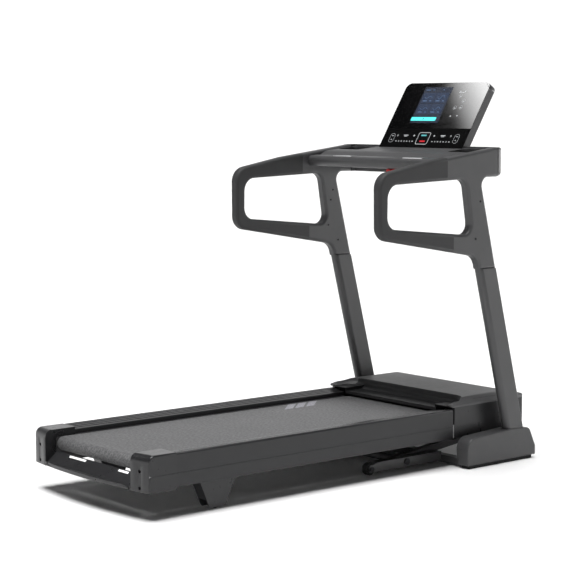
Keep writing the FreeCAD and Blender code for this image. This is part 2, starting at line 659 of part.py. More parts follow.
def ear():
    """Hinge ear of the deck frame, reaching down to the deck pivot."""
    return prism_x([(822, 118, 0), (834, 70, 14), (864, 70, 14), (876, 118, 0)], PLATE_X)


def deck_frame():
    """Steel side plates joined by cross-members above and below the lower belt run."""
    plate = prism_x([(-880, PLATE_Z[0], 6), (-880, PLATE_Z[1], 6), (905, PLATE_Z[1], 6),
                     (905, PLATE_Z[0], 6)], PLATE_X)
    plate = plate.fuse(ear())
    for y in (REAR_ROLLER_Y, FRONT_ROLLER_Y):
        plate = plate.cut(rod_x((250, 280), (y, ROLLER_Z), PIN_RADIUS))
    plate = plate.cut(rod_x((250, 280), DECK_PIVOT, SHAFT_RADIUS + RUNNING_FIT))
    right = plate.cut(rod_x((250, 280), (FRONT_ROLLER_Y, ROLLER_Z), 16)).cut(rod_x((250, 280), MOTOR_AXIS, 13))
    bracket = [box((301, 305), (541, 604), (155, 195)), box((PLATE_X[1], 305), (541, 545), (155, 195))]
    outboard = fused(bracket).cut(rod_x((290, 310), (FRONT_ROLLER_Y, ROLLER_Z), PIN_RADIUS))
    pieces = [right, mirrored(plate), outboard]
    for y in (-700.0, -380.0, -60.0, 260.0, 500.0):
        pieces.append(box((-PLATE_X[0], PLATE_X[0]), (y - 20, y + 20), (156, 166)))
    for y in (-560.0, STRUT_HEAD[0]):
        pieces.append(box((-PLATE_X[0], PLATE_X[0]), (y - 16, y + 16), (114, 140)))
    for y in (650.0, 800.0):
        pieces.append(box((-PLATE_X[0], PLATE_X[0]), (y - 14, y + 14), (112, 116)))
    for side in (-1, 1):
        near = STRUT_X + side * 12.5 - 2.5
        pieces.append(prism_x([(STRUT_HEAD[0] - 12, 84, 9), (STRUT_HEAD[0] - 14, 116, 0),
                               (STRUT_HEAD[0] + 14, 116, 0), (STRUT_HEAD[0] + 12, 84, 9)], (near, near + 5)))
        low, high = sorted((STRUT_X + side * 15, STRUT_X + side * 20))
        pieces.append(rod_x((low, high), STRUT_HEAD, 7))
    return fused(pieces)


def deck_board():
    return rounded_block((-258, 258), (-812, 548), (178, 198), 4)


def deck_cushions():
    """Rubber mounts between the frame's cross-members and the board."""
    mounts = []
    for y in (-700.0, -380.0, -60.0, 260.0, 500.0):
        for x in (-200.0, 200.0):
            mounts.append(Part.makeCone(18, 14, 12, V(x, y, 166)))
    return Part.makeCompound(mounts)


def belt_loop(x, rear, front, outside, thick):
    """Flat belt round two equal or unequal rollers, each given as (y, z, radius)."""
    def loop(extra):
        first = rod_x(x, rear[:2], rear[2] + extra)
        second = rod_x(x, front[:2], front[2] + extra)
        dy = front[0] - rear[0]
        dz = front[1] - rear[1]
        span = math.hypot(dy, dz)
        angle = math.atan2(dz, dy)
        lean = math.acos((rear[2] - front[2]) / span)
        points = []
        for centre, sign in ((rear, 1), (front, 1), (front, -1), (rear, -1)):
            turn = angle + sign * lean
            radius = centre[2] + extra
            points.append(V(x[0], centre[0] + radius * math.cos(turn), centre[1] + radius * math.sin(turn)))
        web = Part.Face(Part.makePolygon(points + [points[0]])).extrude(V(x[1] - x[0], 0, 0))
        return first.multiFuse([second, web])
    return loop(outside).cut(loop(outside - thick)).removeSplitter()


def running_belt():
    rear = (REAR_ROLLER_Y, ROLLER_Z, ROLLER_RADIUS)
    front = (FRONT_ROLLER_Y, ROLLER_Z, ROLLER_RADIUS)
    return belt_loop((-BELT_HALF, BELT_HALF), rear, front, BELT_RADIUS - ROLLER_RADIUS, BELT_THICK)


def rear_roller():
    body = rod_x((-256, 256), (REAR_ROLLER_Y, ROLLER_Z), ROLLER_RADIUS)
    return body.cut(rod_x((-257, 257), (REAR_ROLLER_Y, ROLLER_Z), PIN_RADIUS + RUNNING_FIT))


def front_roller():
    """Drive roller; its sleeve passes the side plate and carries the ribbed pulley."""
    yz = (FRONT_ROLLER_Y, ROLLER_Z)
    body = rod_x((-256, 256), yz, ROLLER_RADIUS)
    pulley = rod_x(PULLEY_X, yz, FRONT_PULLEY_RADIUS)
    for x in (PULLEY_X[0], PULLEY_X[1] - 2):
        pulley = pulley.fuse(rod_x((x, x + 2), yz, FRONT_PULLEY_RADIUS + 3))
    sleeve = rod_x((250, PULLEY_X[0] + 2), yz, 13)
    turning = fused([body, pulley, sleeve])
    return turning.cut(rod_x((-257, 300), yz, PIN_RADIUS + RUNNING_FIT))


def roller_axles():
    """Fixed axles of both rollers with the two tension bolts of the rear roller."""
    rear = rod_x((-268, 268), (REAR_ROLLER_Y, ROLLER_Z), PIN_RADIUS)
    front = rod_x((-268, 305), (FRONT_ROLLER_Y, ROLLER_Z), PIN_RADIUS)
    return Part.makeCompound([rear, front])


def rear_foot():
    """Pressed bracket under a rail with an open-bottomed channel for its wheel."""
    outline = [(-682, RAIL_BOTTOM, 0), (-525, RAIL_BOTTOM, 0), (-566, 18, 6), (-572, 7, 4),
               (-638, 7, 4), (-645, 18, 6)]
    body = prism_x(outline, (290, 340))
    inner = [(-668, RAIL_BOTTOM - 4, 0), (-539, RAIL_BOTTOM - 4, 0), (-566, 0, 0), (-644, 0, 0)]
    body = body.cut(prism_x(inner, (294, 336)))
    return body.cut(rod_x((280, 350), (FOOT_WHEEL_Y, FOOT_WHEEL_RADIUS), 5)).fuse(
        rod_x((290, 340), (FOOT_WHEEL_Y, FOOT_WHEEL_RADIUS), 5)).removeSplitter()


def side_panel():
    """Side of the motor bay."""
    panel = prism_x([(BAY_Y[0], 111, 5), (BAY_Y[0], BAY_TOP, 0), (BAY_Y[1], BAY_TOP, 0),
                     (BAY_Y[1], 155, 24), (926, 111, 6)], (347, DECK_HALF))
    plan = [(340, BAY_Y[0], 0), (DECK_HALF, BAY_Y[0], 0), (DECK_HALF, BAY_Y[1], BAY_CORNER),
            (340, BAY_Y[1], 0)]
    panel = panel.common(prism_z(plan, (100, 240)))
    groove = box((DECK_HALF - 1.2, DECK_HALF + 1), (BAY_Y[0] - 1, 700), (154.5, 157))
    return panel.cut(groove)


def belly_pan():
    pan = rounded_block((-346, 346), (BAY_Y[0], 924), (106, 111), 5)
    for low, high in ((259, 272), (-272, -259)):
        pan = pan.cut(box((low, high), (815, 882), (100, 120)))
    for y in range(600, 800, 25):
        pan = pan.cut(rounded_block((-120, 120), (y, y + 7), (100, 120), 3))
    return pan


def front_panel():
    """Front of the motor bay, with the vents, the mains inlet's seat and the switch's seat."""
    panel = box((-347, 347), (929, BAY_Y[1] - 2), (112, BAY_TOP - 2))
    for i in range(12):
        x = -60 + i * 22
        panel = panel.cut(rounded_block((x, x + 8), (920, 945), (150, 205), 0))
    panel = panel.cut(box((-300, -252), (920, 945), (140, 168)))
    return panel.cut(box((-232, -208), (920, 945), (140, 168)))


def power_inlet():
    """Mains inlet with three contact blades in its recess."""
    body = box((-299.5, -252.5), (905, 938), (140.5, 167.5))
    body = body.cut(box((-294, -258), (920, 939), (144, 164)))
    blades = [box((x, x + 4), (919, 933), (150, 158)) for x in (-287, -278, -269)]
    return fused([body] + blades)


def power_switch():
    """Rocker, proud of the panel on one side."""
    return prism_x([(926, 143, 1), (938, 143, 1), (936, 154, 0), (940.5, 165, 1), (926, 165, 1)],
                   (-231, -209))


def scoop_profile(along, up):
    """Section of the hood's scoop from its centre line to its rim."""
    corners = [(0, SCOOP_Z, 0), (SCOOP_REACH, SCOOP_Z, SCOOP_RADIUS), (SCOOP_REACH, SCOOP_Z + 75, 0),
               (0, SCOOP_Z + 75, 0)]
    return Part.Face(rounded_wire(corners, lambda u, v: along * u + up * v))


def hood_scoop():
    """Bowl with rounded ends, open towards the belt."""
    back = SCOOP_Y - HOOD_REAR_Y + 20
    middle = scoop_profile(Y_AXIS, Z_AXIS)
    middle.translate(V(-SCOOP_HALF, SCOOP_Y, 0))
    pieces = [middle.extrude(V(2 * SCOOP_HALF, 0, 0))]
    pieces.append(box((-SCOOP_HALF, SCOOP_HALF), (SCOOP_Y - back, SCOOP_Y), (SCOOP_Z, SCOOP_Z + 75)))
    side = scoop_profile(X_AXIS, Z_AXIS)
    side.translate(V(SCOOP_HALF, SCOOP_Y, 0))
    end = side.revolve(V(SCOOP_HALF, SCOOP_Y, 0), Z_AXIS, 90)
    flank = side.extrude(V(0, -back, 0))
    pieces += [end, mirrored(end), flank, mirrored(flank)]
    return fused(pieces)


def hood_channel():
    """Deeper middle part of the scoop, over the belt's width."""
    front = SCOOP_Y + SCOOP_REACH - 3
    section = [(HOOD_REAR_Y - 5, CHANNEL_Z, 0), (front - 8, CHANNEL_Z, 20), (front, SCOOP_Z + 40, 0),
               (HOOD_REAR_Y - 5, SCOOP_Z + 40, 0)]
    return prism_x(section, (-CHANNEL_HALF, CHANNEL_HALF))


def hood():
    """Low motor cover with rounded shoulders and a hollow scoop where the belt runs under it."""
    profile = [(-DECK_HALF, BAY_TOP, 0), (DECK_HALF, BAY_TOP, 0), (DECK_HALF, 240, 9),
               (322, HOOD_TOP, 44), (-322, HOOD_TOP, 44), (-DECK_HALF, 240, 9)]
    body = prism_y(profile, (HOOD_REAR_Y, BAY_Y[1]))
    plan = [(-DECK_HALF, HOOD_REAR_Y, 0), (DECK_HALF, HOOD_REAR_Y, 0), (DECK_HALF, BAY_Y[1], BAY_CORNER),
            (-DECK_HALF, BAY_Y[1], BAY_CORNER)]
    body = body.common(prism_z(plan, (200, 300)))
    fall = prism_x([(HOOD_REAR_Y - 5, BAY_TOP - 1, 0), (HOOD_REAR_Y - 5, BAY_TOP + 6, 0),
                    (574, HOOD_TOP - 4, 42), (655, HOOD_TOP - 1, 90), (880, HOOD_TOP + 0.5, 200),
                    (BAY_Y[1] + 5, 246, 0), (BAY_Y[1] + 5, BAY_TOP - 1, 0)], (-400, 400))
    body = body.common(fall)
    tub = box((-CHANNEL_HALF - 4, CHANNEL_HALF + 4), (HOOD_REAR_Y + 1, SCOOP_Y + SCOOP_REACH + 4),
              (CHANNEL_Z - 3, BAY_TOP + 1))
    skirt = prism_x([(HOOD_REAR_Y + 1, 209, 2), (HOOD_REAR_Y + 1, CHANNEL_Z, 0),
                     (HOOD_REAR_Y + 13, CHANNEL_Z, 0), (HOOD_REAR_Y + 6, 209, 2)], (-CHANNEL_HALF - 4, CHANNEL_HALF + 4))
    hollow = box((-340, 340), (668, 925), (BAY_TOP - 1, 252))
    body = body.fuse(tub).cut(hood_scoop()).cut(hood_channel())
    return body.fuse(skirt).cut(hollow).removeSplitter()


def drive_motor():
    """Motor can on its mounting rails, with the shaft bore through both end bells."""
    can = rod_x((20, 220), MOTOR_AXIS, MOTOR_RADIUS)
    bells = [rod_x((10, 22), MOTOR_AXIS, MOTOR_RADIUS + 3), rod_x((218, 232), MOTOR_AXIS, MOTOR_RADIUS + 3)]
    rails = [box((x, x + 20), (MOTOR_AXIS[0] - 77, MOTOR_AXIS[0] + 97), (116, 126)) for x in (40, 180)]
    body = fused([can] + bells + rails)
    return body.cut(rod_x((-10, 260), MOTOR_AXIS, 9))


def motor_flywheel():
    """Motor shaft with its flywheel and the small ribbed pulley."""
    shaft = rod_x((12, 300), MOTOR_AXIS, 8)
    flywheel = rod_x((302, 322), MOTOR_AXIS, 42)
    pulley = rod_x(PULLEY_X, MOTOR_AXIS, MOTOR_PULLEY_RADIUS)
    neck = rod_x((298, 302), MOTOR_AXIS, 14)
    return fused([shaft, pulley, neck, flywheel])


def drive_belt():
    rear = (FRONT_ROLLER_Y, ROLLER_Z, FRONT_PULLEY_RADIUS)
    front = (MOTOR_AXIS[0], MOTOR_AXIS[1], MOTOR_PULLEY_RADIUS)
    return belt_loop((PULLEY_X[0] + 3, PULLEY_X[1] - 3), rear, front, 2.9, 2.5)


def motor_controller():
    """Circuit board with its heat sink, capacitors and filter choke."""
    board = box((-250, -60), (660, 800), (118, 121))
    sink = box((-250, -236), (670, 790), (121, 165))
    fins = [box((-236, -226), (680 + i * 20, 684 + i * 20), (121, 160)) for i in range(6)]
    cans = [Part.makeCylinder(14, 45, V(x, 770, 121)) for x in (-200, -165, -130)]
    choke = box((-120, -80), (680, 730), (121, 150))
    feet = [box((x, x + 12), (y, y + 12), (111, 118)) for x in (-246, -76) for y in (668, 768)]
    return fused([board, sink, choke] + fins + cans + feet)


# ---------------------------------------------------------------- write the pieces

def main():
    os.makedirs("parts", exist_ok=True)

    save("base_beams", base_beams())
    save("base_cross_tube", base_cross_tube())
    save("stabilizer_tubes", stabilizer_tubes())
    save("base_feet", base_feet())
    save("pivot_pins", pivot_pins())
    save_pair("base_cover", base_cover())
    save_pair("upright", upright())
    shell, grip = handle_pieces()
    save_pair("handle_shell", shell)
    save_pair("grip", grip)
    save("front_bridge", front_bridge())
    save("tray", tray())
    save("handlebar", handlebar())
    save("pulse_plates", pulse_plates())
    save("console_shell", console_shell())
    save("console_glass", console_glass())
    save("console_keypad", console_keypad())
    save("console_display", console_display())
    save("console_board", console_board())
    save("safety_key", safety_key())
    save("frame_screws", frame_screws())

    wheel_x = (STAB_X[0] + 6, STAB_X[1] - 6)
    save_pair("transport_wheel", wheel(wheel_x, (WHEEL_Y, WHEEL_RADIUS), WHEEL_RADIUS, 6))
    save("incline_frame", incline_frame())
    save("fold_cradle", fold_cradle())
    save("lift_motor", lift_motor())
    save("lift_screw", lift_screw())
    save("strut_cylinder", strut_cylinder())
    save("strut_rod", strut_rod())

    save_pair("side_rail", side_rail())
    save_pair("end_cap", end_cap())
    save("end_cap_screws", end_cap_screws())
    save("rear_bar", rear_bar())
    save("deck_frame", deck_frame())
    save("deck_board", deck_board())
    save("deck_cushions", deck_cushions())
    save("running_belt", running_belt())
    save("rear_roller", rear_roller())
    save("front_roller", front_roller())
    save("roller_axles", roller_axles())
    save_pair("rear_foot", rear_foot())
    foot_wheel = wheel((302, 328), (FOOT_WHEEL_Y, FOOT_WHEEL_RADIUS), FOOT_WHEEL_RADIUS, 5)
    save_pair("foot_wheel", foot_wheel)
    save_pair("side_panel", side_panel())
    save("belly_pan", belly_pan())
    save("front_panel", front_panel())
    save("power_inlet", power_inlet())
    save("power_switch", power_switch())
    save("hood", hood())
    save("drive_motor", drive_motor())
    save("motor_flywheel", motor_flywheel())
    save("drive_belt", drive_belt())
    save("motor_controller", motor_controller())


main()
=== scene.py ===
import bpy
import bmesh
import json
import math
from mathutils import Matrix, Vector


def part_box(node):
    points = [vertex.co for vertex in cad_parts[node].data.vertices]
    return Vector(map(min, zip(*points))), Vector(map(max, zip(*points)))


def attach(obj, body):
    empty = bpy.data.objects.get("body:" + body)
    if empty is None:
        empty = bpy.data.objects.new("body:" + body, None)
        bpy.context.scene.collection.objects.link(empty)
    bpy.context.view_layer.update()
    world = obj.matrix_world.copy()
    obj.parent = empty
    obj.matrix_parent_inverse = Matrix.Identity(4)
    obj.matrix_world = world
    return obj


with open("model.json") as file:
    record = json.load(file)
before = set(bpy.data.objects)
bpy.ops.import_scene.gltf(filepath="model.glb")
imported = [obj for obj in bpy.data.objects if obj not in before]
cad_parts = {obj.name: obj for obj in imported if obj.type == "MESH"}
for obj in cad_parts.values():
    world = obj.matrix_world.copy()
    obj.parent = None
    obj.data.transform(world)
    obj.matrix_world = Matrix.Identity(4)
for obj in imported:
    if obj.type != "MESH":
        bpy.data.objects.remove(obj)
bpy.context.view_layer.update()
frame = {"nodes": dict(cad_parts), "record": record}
nodes = frame["nodes"]

# ------------------------------------------------------------------ materials


class Shader:
    """A node material with a Principled shader and short helpers for procedural detail."""

    def __init__(self, name, color, rough, metallic=0.0, specular=0.5):
        self.material = bpy.data.materials.new(name)
        self.material.use_nodes = True
        self.tree = self.material.node_tree
        self.bsdf = self.tree.nodes["Principled BSDF"]
        self.bsdf.inputs["Base Color"].default_value = (*color, 1)
        self.bsdf.inputs["Roughness"].default_value = rough
        self.bsdf.inputs["Metallic"].default_value = metallic
        self.bsdf.inputs["Specular IOR Level"].default_value = specular
        self.coord = self.tree.nodes.new("ShaderNodeTexCoord").outputs["Object"]

    def node(self, kind, **inputs):
        made = self.tree.nodes.new(kind)
        for key, value in inputs.items():
            socket = made.inputs[key.replace("_", " ")]
            if isinstance(value, bpy.types.NodeSocket):
                self.tree.links.new(value, socket)
            else:
                socket.default_value = value
        return made

    def noise(self, scale, detail=2.0, roughness=0.5, vector=None):
        made = self.node("ShaderNodeTexNoise", Scale=scale, Detail=detail, Roughness=roughness)
        self.tree.links.new(vector or self.coord, made.inputs["Vector"])
        return made.outputs["Fac"]

    def mapped(self, scale):
        made = self.node("ShaderNodeMapping", Scale=scale)
        self.tree.links.new(self.coord, made.inputs["Vector"])
        return made.outputs["Vector"]

    def spread(self, value, low, high, start=0.0, end=1.0):
        """Map the signal's start..end to the range low..high."""
        made = self.node("ShaderNodeMapRange", Value=value, From_Min=start, From_Max=end,
                         To_Min=low, To_Max=high)
        return made.outputs["Result"]

    def blend_color(self, factor, first, second):
        made = self.tree.nodes.new("ShaderNodeMix")
        made.data_type = "RGBA"
        self.tree.links.new(factor, made.inputs["Factor"])
        for socket, value in ((made.inputs["A"], first), (made.inputs["B"], second)):
            if isinstance(value, bpy.types.NodeSocket):
                self.tree.links.new(value, socket)
            else:
                socket.default_value = (*value, 1)
        return made.outputs["Result"]

    def link(self, output, name):
        self.tree.links.new(output, self.bsdf.inputs[name])

    def bump(self, height, strength, distance):
        made = self.node("ShaderNodeBump", Strength=strength, Distance=distance, Height=height)
        self.link(made.outputs["Normal"], "Normal")


def tone(color, factor):
    return tuple(min(1.0, c * factor) for c in color)


def moulded_plastic(name, color, rough=0.5, grain=900.0, relief=0.00012, mottling=0.12, specular=0.5):
    """Matte moulded plastic with fine grain, slight mottling and worn, glossier patches."""
    s = Shader(name, color, rough, specular=specular)
    cloud = s.noise(14.0, 4.0, 0.6)
    fine = s.noise(grain, 3.0, 0.65)
    s.link(s.blend_color(cloud, tone(color, 1 - mottling), tone(color, 1 + mottling)), "Base Color")
    s.link(s.spread(s.noise(40.0, 3.0), rough - 0.07, rough + 0.07), "Roughness")
    s.bump(fine, 0.55, relief)
    return s.material


def powder_coat(name, color, rough=0.45):
    """Powder coated steel: tiny orange-peel relief and slight tonal drift."""
    s = Shader(name, color, rough, specular=0.55)
    peel = s.noise(420.0, 2.0, 0.5)
    drift = s.noise(6.0, 3.0, 0.5)
    s.link(s.blend_color(drift, tone(color, 0.9), tone(color, 1.1)), "Base Color")
    s.link(s.spread(peel, rough - 0.05, rough + 0.06), "Roughness")
    s.bump(peel, 0.4, 0.00015)
    return s.material


def brushed_metal(name, color, rough=0.3, along=(6.0, 900.0, 900.0)):
    """Bright metal with fine scratches in one direction."""
    s = Shader(name, color, rough, metallic=1.0)
    scratches = s.noise(1.0, 4.0, 0.7, vector=s.mapped(along))
    s.link(s.spread(scratches, rough - 0.1, rough + 0.15), "Roughness")
    s.link(s.blend_color(scratches, tone(color, 0.85), tone(color, 1.05)), "Base Color")
    s.bump(scratches, 0.25, 0.00005)
    return s.material


def rubber(name, color, rough=0.75, grain=700.0):
    """Matte rubber or foam with open pores and a little dust."""
    s = Shader(name, color, rough, specular=0.35)
    pores = s.noise(grain, 4.0, 0.7)
    dust = s.noise(25.0, 4.0, 0.6)
    s.link(s.blend_color(dust, tone(color, 0.85), tone(color, 1.25)), "Base Color")
    s.link(s.spread(dust, rough - 0.06, rough + 0.08), "Roughness")
    s.bump(pores, 0.6, 0.0002)
    return s.material


def belt_cover(name, color):
    """Running belt: embossed pebble grain, light speckle and tread-worn patches of smoother surface."""
    s = Shader(name, color, 0.62, specular=0.4)
    pebbles = s.node("ShaderNodeTexVoronoi", Scale=120.0)
    s.tree.links.new(s.mapped((1.0, 0.45, 1.0)), pebbles.inputs["Vector"])
    speckle = s.noise(170.0, 2.0, 0.6, vector=s.mapped((1.0, 0.5, 1.0)))
    cloud = s.noise(5.0, 3.0, 0.5)
    fleck = s.blend_color(s.spread(speckle, 0.0, 1.0, 0.38, 0.66), tone(color, 0.55), tone(color, 1.5))
    drift = s.blend_color(cloud, tone(color, 0.9), tone(color, 1.1))
    mixed = s.tree.nodes.new("ShaderNodeMix")
    mixed.data_type = "RGBA"
    mixed.inputs["Factor"].default_value = 0.75
    s.tree.links.new(drift, mixed.inputs["A"])
    s.tree.links.new(fleck, mixed.inputs["B"])
    s.link(mixed.outputs["Result"], "Base Color")
    s.link(s.spread(cloud, 0.5, 0.72), "Roughness")
    s.bump(pebbles.outputs["Distance"], 0.7, 0.0012)
    return s.material


def polished_glass(name, color, rough=0.03):
    """Polished black cover with faint smears."""
    s = Shader(name, color, rough, specular=0.6)
    smear = s.noise(9.0, 5.0, 0.6, vector=s.mapped((1.0, 1.0, 3.0)))
    s.link(s.spread(smear, rough, rough + 0.05), "Roughness")
    s.link(s.blend_color(smear, tone(color, 0.8), tone(color, 1.2)), "Base Color")
    return s.material


def lit_print(name, color, strength):
    """Back-lit graphic under the console glass. The guard strips use it too, as a painted glow."""
    s = Shader(name, tone(color, 0.5), 0.25)
    flicker = s.noise(120.0, 2.0, 0.5)
    shade = s.blend_color(flicker, tone(color, 0.85), color)
    s.link(shade, "Emission Color")
    s.bsdf.inputs["Emission Strength"].default_value = strength
    return s.material


# ------------------------------------------------------------------ mesh helpers


def smooth_by_angle(mesh, degrees=35):
    for polygon in mesh.polygons:
        polygon.use_smooth = True
    mesh.set_sharp_from_angle(angle=math.radians(degrees))


def new_piece(name, mesh_maker, material, body):
    """Object from a bmesh-building function; it rides on a body."""
    bm = bmesh.new()
    mesh_maker(bm)
    bmesh.ops.recalc_face_normals(bm, faces=bm.faces)
    mesh = bpy.data.meshes.new(name)
    bm.to_mesh(mesh)
    bm.free()
    smooth_by_angle(mesh)
    mesh.materials.append(material)
    piece = bpy.data.objects.new(name, mesh)
    bpy.context.scene.collection.objects.link(piece)
    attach(piece, body)
    return piece


def soften_edges(piece, width, segments=2, angle=35):
    bevel = piece.modifiers.new("edges", "BEVEL")
    bevel.width = width
    bevel.segments = segments
    bevel.limit_method = "ANGLE"
    bevel.angle_limit = math.radians(angle)
    bevel.harden_normals = True


def rounded_outline(width, height, radius, steps=5):
    """Corner-rounded rectangle round the origin as (u, v) points."""
    points = []
    for index, (sx, sy) in enumerate(((1, 1), (-1, 1), (-1, -1), (1, -1))):
        for step in range(steps + 1):
            angle = math.pi / 2 * (index + step / steps)
            points.append((sx * (width / 2 - radius) + radius * math.cos(angle),
                           sy * (height / 2 - radius) + radius * math.sin(angle)))
    return points


def slab(bm, points, lift):
    """Closed plate between a loop of points and the same loop moved by lift."""
    low = [bm.verts.new(p) for p in points]
    high = [bm.verts.new(p + lift) for p in points]
    count = len(points)
    bm.faces.new(low)
    bm.faces.new(high)
    for i in range(count):
        following = (i + 1) % count
        bm.faces.new((low[i], low[following], high[following], high[i]))


def band(bm, outer, inner, lift):
    """Closed ring plate between two loops with the same number of points."""
    count = len(outer)
    rings = []
    for loop, rise in ((outer, 0), (inner, 0), (inner, 1), (outer, 1)):
        rings.append([bm.verts.new(p + lift * rise) for p in loop])
    for level in range(4):
        first, second = rings[level], rings[(level + 1) % 4]
        for i in range(count):
            following = (i + 1) % count
            bm.faces.new((first[i], first[following], second[following], second[i]))


# ------------------------------------------------------------------ camera, light and floor

CAMERA_PLACE = Vector((5.038, -4.219, 1.386))
CAMERA_YAW = math.radians(50.07)
CAMERA_PITCH = math.radians(5.87)
SENSOR_WIDTH = 36.0
FOCAL_LENGTH = 108.03


def add_camera():
    data = bpy.data.cameras.new("camera")
    data.sensor_width = SENSOR_WIDTH
    data.lens = FOCAL_LENGTH
    data.clip_end = 200
    camera = bpy.data.objects.new("camera", data)
    level = math.cos(CAMERA_PITCH)
    forward = Vector((-math.sin(CAMERA_YAW) * level, math.cos(CAMERA_YAW) * level, -math.sin(CAMERA_PITCH)))
    camera.location = CAMERA_PLACE
    camera.rotation_euler = forward.to_track_quat("-Z", "Y").to_euler()
    bpy.context.scene.collection.objects.link(camera)
    bpy.context.scene.camera = camera


def area_light(name, place, target, size, power):
    data = bpy.data.lights.new(name, "AREA")
    data.shape = "RECTANGLE"
    data.size, data.size_y = size
    data.energy = power
    lamp = bpy.data.objects.new(name, data)
    lamp.location = place
    lamp.rotation_euler = (Vector(target) - Vector(place)).to_track_quat("-Z", "Y").to_euler()
    bpy.context.scene.collection.objects.link(lamp)


def sun_light(name, towards, strength, width_degrees):
    """Large even light from above; towards is the direction that it shines in."""
    data = bpy.data.lights.new(name, "SUN")
    data.energy = strength
    data.angle = math.radians(width_degrees)
    lamp = bpy.data.objects.new(name, data)
    lamp.rotation_euler = Vector(towards).to_track_quat("-Z", "Y").to_euler()
    bpy.context.scene.collection.objects.link(lamp)


# The surround is white near the horizon and dark above it. On the backdrop's side the white
# reaches higher, so the machine's flat tops mirror it.
SKY_HORIZON = 1.12
SKY_TOP = 0.02
SKY_EDGE = (0.068, 0.13)           # heights of a unit direction between which white turns dark
BACKDROP = (-0.77, 0.64, 0.0)
BACKDROP_RISE = 0.36

# A soft lamp seen in the console glass: one edge is sharp, and it brightens away from that edge
# and upwards. Its place is given as directions from the machine.
LAMP_EDGE = (0.7105, -0.2931, 0.6397)        # normal of the plane through the sharp edge
LAMP_RISE = (-0.005, 0.907, 0.4211)
LAMP_CENTRE = (-0.7036, -0.3024, 0.6430)
LAMP_ACROSS = 545.0                          # brightness gained across the lamp, per unit
LAMP_UP = 205.0                              # and up it
LAMP_LIMIT = 16.0
LAMP_GLOW_MIN = 0.03
LAMP_EDGE_BLUR = (0.0, 0.0007)
LAMP_FAR_SIDE = (0.030, 0.034)
LAMP_REACH = (0.998, 0.9988)                 # cosines from the lamp's centre where it fades in


def add_world():
    """Studio surround: white at the horizon, dark overhead, with one soft lamp for the console."""
    world = bpy.data.worlds.new("studio")
    world.use_nodes = True
    tree = world.node_tree
    background = tree.nodes["Background"]
    direction = tree.nodes.new("ShaderNodeTexCoord").outputs["Generated"]

    def along(axis):
        dot = tree.nodes.new("ShaderNodeVectorMath")
        dot.operation = "DOT_PRODUCT"
        dot.inputs[1].default_value = axis
        tree.links.new(direction, dot.inputs[0])
        return dot.outputs["Value"]

    def ramp(value, start, end, low, high):
        made = tree.nodes.new("ShaderNodeMapRange")
        made.interpolation_type = "SMOOTHSTEP"
        for name, setting in (("From Min", start), ("From Max", end), ("To Min", low), ("To Max", high)):
            made.inputs[name].default_value = setting
        tree.links.new(value, made.inputs["Value"])
        return made.outputs["Result"]

    def combine(operation, a, b):
        made = tree.nodes.new("ShaderNodeMath")
        made.operation = operation
        for socket, value in zip(made.inputs, (a, b)):
            if isinstance(value, bpy.types.NodeSocket):
                tree.links.new(value, socket)
            else:
                socket.default_value = value
        return made.outputs[0]

    facing = combine("MAXIMUM", along(BACKDROP), 0.0)
    behind = combine("MULTIPLY", combine("MULTIPLY", facing, facing), BACKDROP_RISE)
    horizon = ramp(combine("SUBTRACT", along((0, 0, 1)), behind), *SKY_EDGE, SKY_HORIZON, SKY_TOP)
    across = along(LAMP_EDGE)
    rise = along(LAMP_RISE)
    glow = combine("ADD", combine("MULTIPLY", across, LAMP_ACROSS), combine("MULTIPLY", rise, LAMP_UP))
    glow = combine("MINIMUM", combine("MAXIMUM", glow, LAMP_GLOW_MIN), LAMP_LIMIT)
    inside = combine("MULTIPLY", ramp(across, *LAMP_EDGE_BLUR, 0.0, 1.0),
                     ramp(across, *LAMP_FAR_SIDE, 1.0, 0.0))
    near = ramp(along(LAMP_CENTRE), *LAMP_REACH, 0.0, 1.0)
    lamp = combine("MULTIPLY", glow, combine("MULTIPLY", inside, near))
    tree.links.new(combine("ADD", horizon, lamp), background.inputs["Strength"])
    background.inputs["Color"].default_value = (1, 1, 1, 1)
    bpy.context.scene.world = world


FLOOR_HALF = 80.0


def add_floor():
    """Pale studio floor that runs to the horizon."""
    mesh = bpy.data.meshes.new("floor")
    corners = [(FLOOR_HALF * x, FLOOR_HALF * y, 0) for x, y in ((-1, -1), (1, -1), (1, 1), (-1, 1))]
    mesh.from_pydata(corners, [], [(0, 1, 2, 3)])
    floor = bpy.data.objects.new("floor", mesh)
    bpy.context.scene.collection.objects.link(floor)
    s = Shader("studio_floor", (0.86, 0.86, 0.86), 0.8, specular=0.1)
    s.link(s.spread(s.noise(3.0), 0.72, 0.88), "Roughness")
    mesh.materials.append(s.material)


# ------------------------------------------------------------------ carried-over CAD pieces


